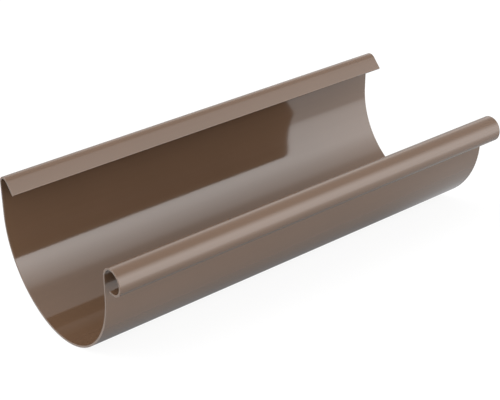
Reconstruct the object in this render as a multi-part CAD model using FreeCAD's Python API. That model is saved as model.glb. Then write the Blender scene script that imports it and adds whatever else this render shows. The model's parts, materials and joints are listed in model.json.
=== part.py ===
import FreeCAD
import Part
import math
import os

# Half-round rain gutter: a short section, rolled from one strip of coated sheet.
#
# The strip starts at the free edge of the rear lip, which is folded inwards and down.  It turns
# over the rounded crest, runs down the flat back wall, round the half-round trough and up the
# front wall, and ends in the front bead, rolled outwards into a tube whose free edge stops short
# of the front wall.
#
# The section is drawn as it hangs in its brackets, with the back wall upright, and then rolled
# about the trough's axis until its centre of mass is under that axis.  That is how a loose piece
# lies on a level floor.
# Frame: +Y along the gutter, +Z up, origin on the floor under the middle of its width and length.
# Lengths are in millimetres and angles in degrees.

# Driving dimensions
LENGTH = 330.0               # along the gutter, cut square at both ends
TROUGH_RADIUS = 62.5         # inside radius of the half-round: a 125 mm nominal gutter
SHEET = 1.5                  # thickness of the coated sheet
BACK_RISE = 25.3             # height of the flat back wall above the trough's axis
CREST_RADIUS = 6.0           # outside radius of the crest, where the sheet turns over
LIP_ANGLE = 45.0             # slope of the rear lip below the horizontal
LIP_FLAT = 10.1              # flat part of the rear lip
FRONT_RISE = 16.2            # height of the bead's axis above the trough's axis
BEAD_RADIUS = 9.4            # outside radius of the rolled front bead
BEAD_SWEEP = 290.0           # how far the bead is rolled, from the top of the front wall


def polar(centre, radius, angle):
    """A point of the section: x across the gutter, z up, angle from +x towards +z."""
    turn = math.radians(angle)
    return FreeCAD.Vector(centre.x + radius * math.cos(turn), 0, centre.z + radius * math.sin(turn))


def arc(centre, radius, start, end):
    """Arc of the section about centre, through its middle angle."""
    middle = (start + end) / 2
    points = [polar(centre, radius, angle) for angle in (start, middle, end)]
    return Part.Arc(*points).toShape()


def line(start, end):
    return Part.LineSegment(start, end).toShape()


def section_side(offset):
    """Edges of one face of the sheet, from the lip to the bead.

    offset is the distance from the trough's inside face: 0 for the face that holds the water and
    SHEET for the other one.  The crest turns towards the trough and the bead away from it.
    """
    axis = FreeCAD.Vector(0, 0, 0)
    wall = TROUGH_RADIUS + offset
    crest_radius = CREST_RADIUS - SHEET + offset
    bead_radius = BEAD_RADIUS - offset
    crest = FreeCAD.Vector(-TROUGH_RADIUS - SHEET + CREST_RADIUS, 0, BACK_RISE)
    bead = FreeCAD.Vector(TROUGH_RADIUS + BEAD_RADIUS, 0, FRONT_RISE)

    lip_normal = 90.0 - LIP_ANGLE
    lip_root = polar(crest, crest_radius, lip_normal)
    lip_tip = polar(lip_root, LIP_FLAT, -LIP_ANGLE)
    return [
        line(lip_tip, lip_root),
        arc(crest, crest_radius, lip_normal, 180.0),
        line(polar(crest, crest_radius, 180.0), polar(axis, wall, 180.0)),
        arc(axis, wall, 180.0, 360.0),
        line(polar(axis, wall, 0.0), polar(bead, bead_radius, 180.0)),
        arc(bead, bead_radius, 180.0, 180.0 - BEAD_SWEEP),
    ]


def sheet_section():
    """The cut face of the sheet: both its faces, joined by the two free edges."""
    inside = section_side(0.0)
    outside = section_side(SHEET)
    lip_edge = line(inside[0].firstVertex(True).Point, outside[0].firstVertex(True).Point)
    bead_edge = line(inside[-1].lastVertex(True).Point, outside[-1].lastVertex(True).Point)
    loop = Part.Wire(Part.__sortEdges__(inside + outside + [lip_edge, bead_edge]))
    return Part.Face(loop)


def rest_roll(section):
    """Roll that brings the centre of mass under the trough's axis, in degrees about +Y."""
    centre = section.CenterOfMass
    return math.degrees(math.atan2(centre.x, -centre.z))


def gutter():
    """The whole gutter, lying as it comes to rest."""
    section = sheet_section()
    roll = rest_roll(section)
    section.translate(FreeCAD.Vector(0, -LENGTH / 2, 0))
    body = section.extrude(FreeCAD.Vector(0, LENGTH, 0))
    body.rotate(FreeCAD.Vector(0, 0, 0), FreeCAD.Vector(0, 1, 0), roll)

    outside = TROUGH_RADIUS + SHEET
    turn = math.radians(roll)
    bead_across = (TROUGH_RADIUS + BEAD_RADIUS) * math.cos(turn) + FRONT_RISE * math.sin(turn)
    middle = (bead_across + BEAD_RADIUS - outside) / 2
    body.translate(FreeCAD.Vector(-middle, 0, outside))
    print("roll at rest: %.3f degrees" % roll)
    return body


os.makedirs("parts", exist_ok=True)
gutter().exportStep("parts/gutter.step")
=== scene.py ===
import json
import math

import bmesh
import bpy
from mathutils import Matrix, Vector


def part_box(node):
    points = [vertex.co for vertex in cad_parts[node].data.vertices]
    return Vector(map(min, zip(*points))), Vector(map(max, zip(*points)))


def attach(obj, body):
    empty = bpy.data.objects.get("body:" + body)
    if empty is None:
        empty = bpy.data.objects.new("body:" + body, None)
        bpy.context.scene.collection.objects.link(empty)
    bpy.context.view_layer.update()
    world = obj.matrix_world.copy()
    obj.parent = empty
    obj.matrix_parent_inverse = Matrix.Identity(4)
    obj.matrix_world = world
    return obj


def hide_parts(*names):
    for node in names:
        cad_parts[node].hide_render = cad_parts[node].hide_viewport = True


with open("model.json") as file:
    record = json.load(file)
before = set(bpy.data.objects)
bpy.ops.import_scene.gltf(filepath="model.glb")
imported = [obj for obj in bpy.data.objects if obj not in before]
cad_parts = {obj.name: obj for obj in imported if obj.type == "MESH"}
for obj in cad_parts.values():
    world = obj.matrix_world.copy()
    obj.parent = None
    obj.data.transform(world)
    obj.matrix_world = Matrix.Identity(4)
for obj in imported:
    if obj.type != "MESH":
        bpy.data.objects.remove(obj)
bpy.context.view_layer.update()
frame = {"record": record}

# The gutter: a short half-round length, rolled from one strip of brown coated aluminium sheet.
# The strip is folded down at the rear lip, runs round the trough and ends in the open rolled bead.
# Both ends are cut square, and the cut edges are rounded over a little where they were deburred.
mm = 0.001
sheet = 1.5 * mm
trough = 62.5 * mm           # radius of the face that holds the water
back_rise = 25.3 * mm        # flat back wall above the trough's axis
crest = 6.0 * mm             # outside radius of the crest
lip_slope = math.radians(45)
lip_flat = 10.1 * mm
front_rise = 16.2 * mm       # bead's axis above the trough's axis
bead = 9.4 * mm              # outside radius of the bead
bead_sweep = 290             # degrees that the bead turns through
low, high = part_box("gutter")
length = high.y - low.y

# The section is drawn as the gutter hangs, about the trough's axis, and then laid as it rests.
seat = next(mount for mount in frame["record"]["mounts"] if mount["name"] == "bracket_seat")
down = Vector(seat["axis"])
axis_point = Vector(seat["pos_m"]) - down * seat["dims"]["r_mm"] * mm
as_it_rests = Matrix.Translation(axis_point) @ Matrix.Rotation(math.atan2(-down.x, -down.z), 4, "Y")
crest_centre = Vector((-trough - sheet + crest, 0, back_rise))
bead_centre = Vector((trough + bead, 0, front_rise))
lip_outward = Vector((math.sin(lip_slope), 0, math.cos(lip_slope)))
lip_fall = lip_flat * Vector((math.cos(lip_slope), 0, -math.sin(lip_slope)))
lip_root = crest_centre + (crest - sheet) * lip_outward


def run(strip, end, across, up):
    """Carries the section on in a straight line from its last point."""
    new = bmesh.ops.extrude_vert_indiv(strip, verts=[end])["verts"]
    bmesh.ops.translate(strip, verts=new, vec=(across, 0, up))
    return new[0]


def turn(strip, end, centre, degrees, steps):
    """Carries the section on round an arc, anticlockwise as seen from the near end."""
    spun = bmesh.ops.spin(strip, geom=[end], cent=centre, axis=(0, -1, 0),
                          angle=math.radians(degrees), steps=steps)
    return next(part for part in spun["geom_last"] if isinstance(part, bmesh.types.BMVert))


strip = bmesh.new()
end = strip.verts.new(lip_root + lip_fall)
end = run(strip, end, -lip_fall.x, -lip_fall.z)
end = turn(strip, end, crest_centre, 90 + math.degrees(lip_slope), 30)
end = run(strip, end, 0, -back_rise)
end = turn(strip, end, (0, 0, 0), 180, 120)
end = run(strip, end, 0, front_rise)
end = turn(strip, end, bead_centre, -bead_sweep, 84)
bmesh.ops.translate(strip, verts=strip.verts[:], vec=(0, -length / 2, 0))
drawn = bmesh.ops.extrude_edge_only(strip, edges=strip.edges[:])["geom"]
far_end = [part for part in drawn if isinstance(part, bmesh.types.BMVert)]
bmesh.ops.translate(strip, verts=far_end, vec=(0, length, 0))
bmesh.ops.remove_doubles(strip, verts=strip.verts[:], dist=0.01 * mm)
bmesh.ops.recalc_face_normals(strip, faces=strip.faces[:])
bmesh.ops.solidify(strip, geom=strip.faces[:], thickness=sheet)
bmesh.ops.recalc_face_normals(strip, faces=strip.faces[:])
bmesh.ops.transform(strip, matrix=as_it_rests, verts=strip.verts[:])
for face in strip.faces:
    face.smooth = True
sheet_mesh = bpy.data.meshes.new("gutter_sheet")
strip.to_mesh(sheet_mesh)
strip.free()
gutter = bpy.data.objects.new("gutter_sheet", sheet_mesh)
bpy.context.scene.collection.objects.link(gutter)
deburr = gutter.modifiers.new("deburred_edges", "BEVEL")
deburr.width = 0.22 * mm
deburr.segments = 3
deburr.limit_method = "ANGLE"
deburr.angle_limit = math.radians(50)
deburr.harden_normals = True


class Layer:
    """A value of a finish.  Arithmetic on it adds Math nodes, and node() adds any other node."""

    def __init__(self, socket):
        self.socket = socket

    @staticmethod
    def node(tree, kind, settings, inputs, output=0):
        new = tree.nodes.new(kind)
        for name, setting in settings.items():
            if name == "stops":
                for position, colour in setting[1:-1]:
                    new.color_ramp.elements.new(position)
                for stop, (position, colour) in zip(new.color_ramp.elements, setting):
                    stop.position, stop.color = position, colour
            else:
                setattr(new, name, setting)
        for name, value in inputs.items():
            if isinstance(value, Layer):
                tree.links.new(value.socket, new.inputs[name])
            else:
                new.inputs[name].default_value = value
        return Layer(new.outputs[output])

    def math(self, operation, first, second):
        return Layer.node(self.socket.id_data, "ShaderNodeMath", {"operation": operation},
                          {0: first, 1: second})

    def __abs__(self):
        return self.math("ABSOLUTE", self, 0)

    def __add__(self, other):
        return self.math("ADD", self, other)

    def __radd__(self, other):
        return self.math("ADD", other, self)

    def __sub__(self, other):
        return self.math("SUBTRACT", self, other)

    def __rsub__(self, other):
        return self.math("SUBTRACT", other, self)

    def __mul__(self, other):
        return self.math("MULTIPLY", self, other)

    def __rmul__(self, other):
        return self.math("MULTIPLY", other, self)

    def __truediv__(self, other):
        return self.math("DIVIDE", self, other)

    def __rtruediv__(self, other):
        return self.math("DIVIDE", other, self)


coat = bpy.data.materials.new("brown_coat")
coat.use_nodes = True
tree = coat.node_tree
shader = tree.nodes["Principled BSDF"]
place = Layer.node(tree, "ShaderNodeTexCoord", {}, {}, "Object")
drawn_out = Layer.node(tree, "ShaderNodeMapping", {}, {"Vector": place, "Scale": (1, 0.03, 1)})
in_section = Layer.node(tree, "ShaderNodeVectorMath", {"operation": "MULTIPLY"},
                        {0: place, 1: (1, 0, 1)})
from_middle = abs(Layer.node(tree, "ShaderNodeSeparateXYZ", {}, {"Vector": place}, "Y"))
dark_brown = (0.0695, 0.0402, 0.0235, 1)
light_brown = (0.0815, 0.0468, 0.0283, 1)
# Lighter brown for the cut edges: partly rubbed paint, partly painted light on the cut faces.
rubbed_and_lit_brown = (0.15, 0.105, 0.075, 1)
clean_gloss = 0.08           # roughness of the flat sheet
duller = 0.15                # how much rougher it is where it was stretched or rubbed


def noise(vector, scale, detail):
    """A random pattern that lies about 0."""
    return Layer.node(tree, "ShaderNodeTexNoise", {},
                      {"Vector": vector, "Scale": scale, "Detail": detail}, "Fac") - 0.5


def mixed(share, first, second):
    """The first colour, turning into the second as share goes from 0 to 1."""
    return Layer.node(tree, "ShaderNodeMix", {"data_type": "RGBA"},
                      {0: share, 6: first, 7: second}, 2)


def fade(amount, none, full):
    """0 where amount is none, 1 where it is full, and smooth between them."""
    return Layer.node(amount.socket.id_data, "ShaderNodeMapRange",
                      {"interpolation_type": "SMOOTHSTEP"},
                      {"Value": amount, "From Min": none, "From Max": full})


def around(point, reach, soft):
    """1 within reach of a line along the gutter, given as it hangs, and 0 past that by soft."""
    away = Layer.node(tree, "ShaderNodeVectorMath", {"operation": "DISTANCE"},
                      {0: in_section, 1: as_it_rests @ point}, "Value")
    return fade(away, reach + soft, reach)


# The paint is a little uneven, and the rolls left faint streaks in it along the gutter.
mottle = noise(place, 22, 3)
streaks = noise(drawn_out, 320, 2)
peel = noise(place, 600, 1)
paint = mixed(mottle * 0.8 + streaks * 0.5 + 0.5, dark_brown, light_brown)

# It is duller where the bead and the crest stretch it, and rougher along every cut edge.
# Every cut edge is also painted lighter: partly rubbed paint, partly painted light on the cut
# faces.
stretched = around(bead_centre, bead + 0.1 * mm, 1.1 * mm) \
    + around(crest_centre, crest + 0.1 * mm, 1.1 * mm)
lip_edge = lip_root + lip_fall + sheet / 2 * lip_outward
bead_edge = bead_centre \
    + Matrix.Rotation(math.radians(bead_sweep), 3, "Y") @ Vector((sheet / 2 - bead, 0, 0))
cut_edges = fade(from_middle, length / 2 - 1.0 * mm, length / 2 - 0.1 * mm) \
    + around(lip_edge, 0.7 * mm, 0.6 * mm) + around(bead_edge, 0.7 * mm, 0.6 * mm)
rubbed_and_lit_edges = cut_edges * (noise(place, 240, 3) * 1.6 + 0.35)
dullness = clean_gloss + mottle * 0.03 + streaks * 0.02 + (stretched + rubbed_and_lit_edges) * duller
grain = Layer.node(tree, "ShaderNodeBump", {},
                   {"Strength": 0.25, "Distance": 0.02 * mm, "Height": peel}, "Normal")
# The base colour is lighter along the cut edges: partly wear, partly painted light on the cut
# faces.
tree.links.new(mixed(rubbed_and_lit_edges * 0.4, paint, rubbed_and_lit_brown).socket, shader.inputs["Base Color"])
tree.links.new(dullness.socket, shader.inputs["Roughness"])
tree.links.new(grain.socket, shader.inputs["Normal"])
shader.inputs["IOR"].default_value = 1.5
sheet_mesh.materials.append(coat)
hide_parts("gutter")
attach(gutter, "root")

# Floor: a wide light table of white frosted glass, lit from below, so that only a faint shadow
# shows on it.  It lies flat under the gutter and isn't part of it.
reach = 6                    # metres to each side
glow_from_below = 0.91
glass_white = 0.07           # share of the light from above that the glass throws back
plate = bmesh.new()
bmesh.ops.create_grid(plate, x_segments=1, y_segments=1, size=reach)
floor_mesh = bpy.data.meshes.new("light_table")
plate.to_mesh(floor_mesh)
plate.free()
floor = bpy.data.objects.new("light_table", floor_mesh)
bpy.context.scene.collection.objects.link(floor)
glass = bpy.data.materials.new("frosted_glass")
glass.use_nodes = True
frosted = glass.node_tree.nodes["Principled BSDF"]
frosted.inputs["Base Color"].default_value = (glass_white, glass_white, glass_white, 1)
frosted.inputs["Roughness"].default_value = 1.0
frosted.inputs["Specular IOR Level"].default_value = 0.0
frosted.inputs["Emission Color"].default_value = (1, 1, 1, 1)
frosted.inputs["Emission Strength"].default_value = glow_from_below
floor_mesh.materials.append(glass)
floor.visible_glossy = False
floor.visible_diffuse = False

# Light: a white light tent round the gutter, with one big soft lamp on the bead's side and a
# softer one overhead.  Levels go by the angle across the gutter as it hangs: 0 is level on the
# bead's side, 90 overhead and 180 level behind the rear lip.
studio = bpy.data.worlds.new("white_studio")
bpy.context.scene.world = studio
studio.use_nodes = True
tree = studio.node_tree
hung = as_it_rests.to_3x3()
ray = Layer.node(tree, "ShaderNodeTexCoord", {}, {}, "Generated")
brightest = 5                # highest level that a list of levels can hold


def towards(across, along, up):
    """How far a ray points in a direction, given for the gutter as it hangs."""
    return Layer.node(tree, "ShaderNodeVectorMath", {"operation": "DOT_PRODUCT"},
                      {0: ray, 1: hung @ Vector((across, along, up))}, "Value")


along = towards(0, 1, 0)
angle = Layer.node(tree, "ShaderNodeMath", {"operation": "ARCTAN2"},
                   {0: towards(0, 0, 1), 1: towards(1, 0, 0)})
round_gutter = angle / (2 * math.pi) + 0.5


def levels(stops):
    """Brightness by the angle across the gutter, from a list of (degrees, level)."""
    greys = [((degrees + 180) / 360, (level / brightest, level / brightest, level / brightest, 1))
             for degrees, level in stops]
    return brightest * Layer.node(tree, "ShaderNodeValToRGB", {"stops": greys},
                                  {"Fac": round_gutter})


# The tent's cloth is lit one way past the far end and another way round the rest.  A ray's along
# is 1 if it points straight to the far end and -1 if it points straight to the near end.
far_cloth = levels([(-180, 0.75), (-150, 0.42), (-125, 0.28), (-90, 0.63), (-50, 1.27), (-34, 1.7),
                    (-18, 1.95), (64, 1.3), (72, 1.15), (118, 1.08), (130, 1.25), (144, 1.75),
                    (154, 2.13), (166, 1.1), (180, 0.75)])
near_cloth = levels([(-180, 0.6), (-150, 0.3), (-125, 0.5), (-90, 1.4), (-60, 0.45), (-10, 0.4),
                     (12, 1.8), (50, 1.9), (110, 1.2), (150, 1.6), (180, 0.6)])
near = fade(along, 0.38, 0.15)
cloth = far_cloth * (1 - near) + near_cloth * near

# The lamp on the bead's side weakens to the far end.  Some of its light spills under it.
lamp = levels([(-18, 0), (-14, 1.6), (-6, 2.4), (14, 3.3), (32, 3.75), (37, 3.5), (50, 2.15),
               (61, 1.1), (66, 0.2), (72, 0)])
lamp = lamp * (1.35 - along * 0.7) * fade(along, 0, 0.35) * fade(along, 0.97, 0.75)
spill = levels([(-40, 0), (-26, 0.5), (-14, 0.9), (-4, 0.5), (10, 0)]) \
    * (fade(along, 0.6, 0.5) + fade(along, 0.62, 0.66))

# The lamp overhead is full up to 12 degrees off its middle and gone at 42.  A weak light fills in
# from past the near end.
to_overhead = towards(-0.31, -0.41, 0.857)
overhead = 2.22 * fade(to_overhead, math.cos(math.radians(42)), math.cos(math.radians(12)))
near_fill = levels([(-180, 1.1), (-70, 1.1), (-50, 0.2), (-5, 0.2), (15, 1.1), (180, 1.1)]) \
    * fade(along, 0, -0.6)

# Towards the far end the roof is a little brighter and the cloth below is first a little darker
# and then brighter.  The tent's two ends are dimmer.
far_roof = levels([(45, 0), (60, 0.19), (75, 0.19), (95, 0)]) * fade(along, 0.48, 0.62)
far_shade = levels([(-130, 0), (-90, 0.1), (-65, 0.16), (-42, 0.16), (-26, 0)]) \
    * fade(along, 0.43, 0.53)
far_glow = levels([(-175, 0), (-150, 0.3), (-110, 0.42), (-60, 0.3), (-20, 0)]) \
    * fade(along, 0.6, 0.67)
dimmer_ends = 1 - 0.45 * fade(abs(along), 0.72, 0.95)
light = cloth + lamp + spill + overhead + near_fill + far_roof - far_shade + far_glow
tree.links.new((light * dimmer_ends).socket, tree.nodes["Background"].inputs["Strength"])
tree.nodes["Background"].inputs["Color"].default_value = (1, 1, 1, 1)

# Camera: the photograph's viewpoint, given for the gutter as it hangs and laid over with it.
# It looks down at the near end from the bead's side.
looks_at = (2.781 * mm, -5.475 * mm, -15.306 * mm)
azimuth = math.radians(51.854)
elevation = math.radians(30.14)
distance = 906.88 * mm
lens = bpy.data.cameras.new("photo_view")
lens.lens = 91.497
lens.sensor_width = 36
lens.clip_end = 50
camera = bpy.data.objects.new("photo_view", lens)
bpy.context.scene.collection.objects.link(camera)
camera.matrix_world = (as_it_rests @ Matrix.Translation(looks_at)
                       @ Matrix.Rotation(azimuth, 4, "Z")
                       @ Matrix.Rotation(math.radians(90) - elevation, 4, "X")
                       @ Matrix.Translation((0, 0, distance)))
bpy.context.scene.camera = camera
bpy.context.scene.view_settings.view_transform = "Standard"
